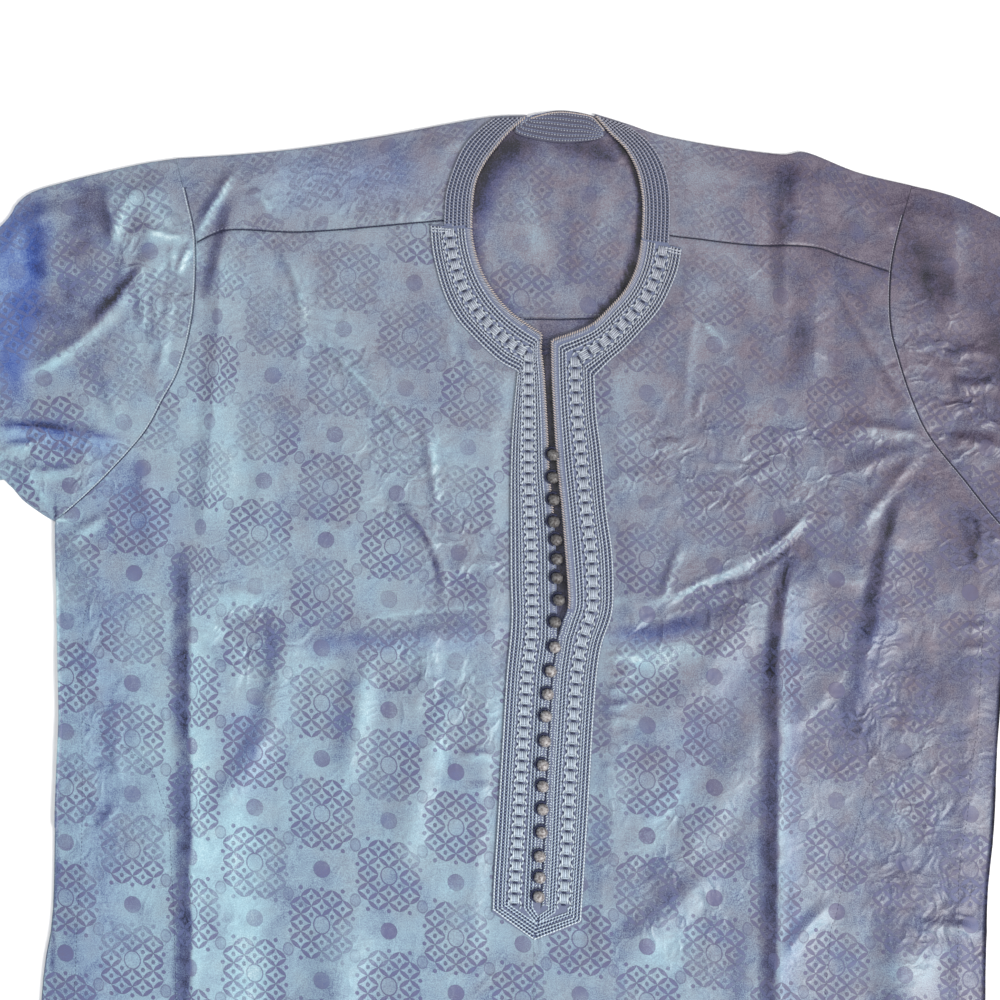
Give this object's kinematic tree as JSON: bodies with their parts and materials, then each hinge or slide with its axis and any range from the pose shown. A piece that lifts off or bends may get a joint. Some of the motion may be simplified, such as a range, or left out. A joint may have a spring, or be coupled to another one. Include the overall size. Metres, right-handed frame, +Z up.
{
  "type": "grand boubou robe",
  "caption": "Men's long damask cotton robe laid flat, with a round braid-trimmed neck, a buttoned half-length slit, a shoulder yoke and set-in sleeves.",
  "frame": {"origin": "centre of the bounding box in plan, on the surface the robe lies on", "axes": "+X to the viewer's right across the shoulders, +Y from hem to neck, +Z up from the surface"},
  "size_m": [1.5038, 1.3652, 0.0135],
  "materials": {
    "damask": "satin",
    "braid": "matte",
    "button_thread": "matte",
    "pocketing": "matte"
  },
  "bodies": {
    "root": {"back_panel": "damask", "yoke_back": "damask", "yoke_left": "damask", "yoke_right": "damask", "front_panel": "damask", "sleeve_left": "damask", "sleeve_right": "damask", "neck_band_left": "braid", "neck_band_right": "braid", "back_neck_band": "braid", "trim_left": "braid", "trim_right": "braid", "pocket_bag_left": "pocketing", "pocket_bag_right": "pocketing", "button_01": "button_thread", "button_02": "button_thread", "button_03": "button_thread", "button_04": "button_thread", "button_05": "button_thread", "button_06": "button_thread", "button_07": "button_thread", "button_08": "button_thread", "button_09": "button_thread", "button_10": "button_thread", "button_11": "button_thread", "button_12": "button_thread", "button_13": "button_thread", "button_14": "button_thread", "button_15": "button_thread", "button_16": "button_thread", "button_17": "button_thread", "button_18": "button_thread", "button_19": "button_thread", "button_20": "button_thread", "button_21": "button_thread"}
  },
  "joints": []
}
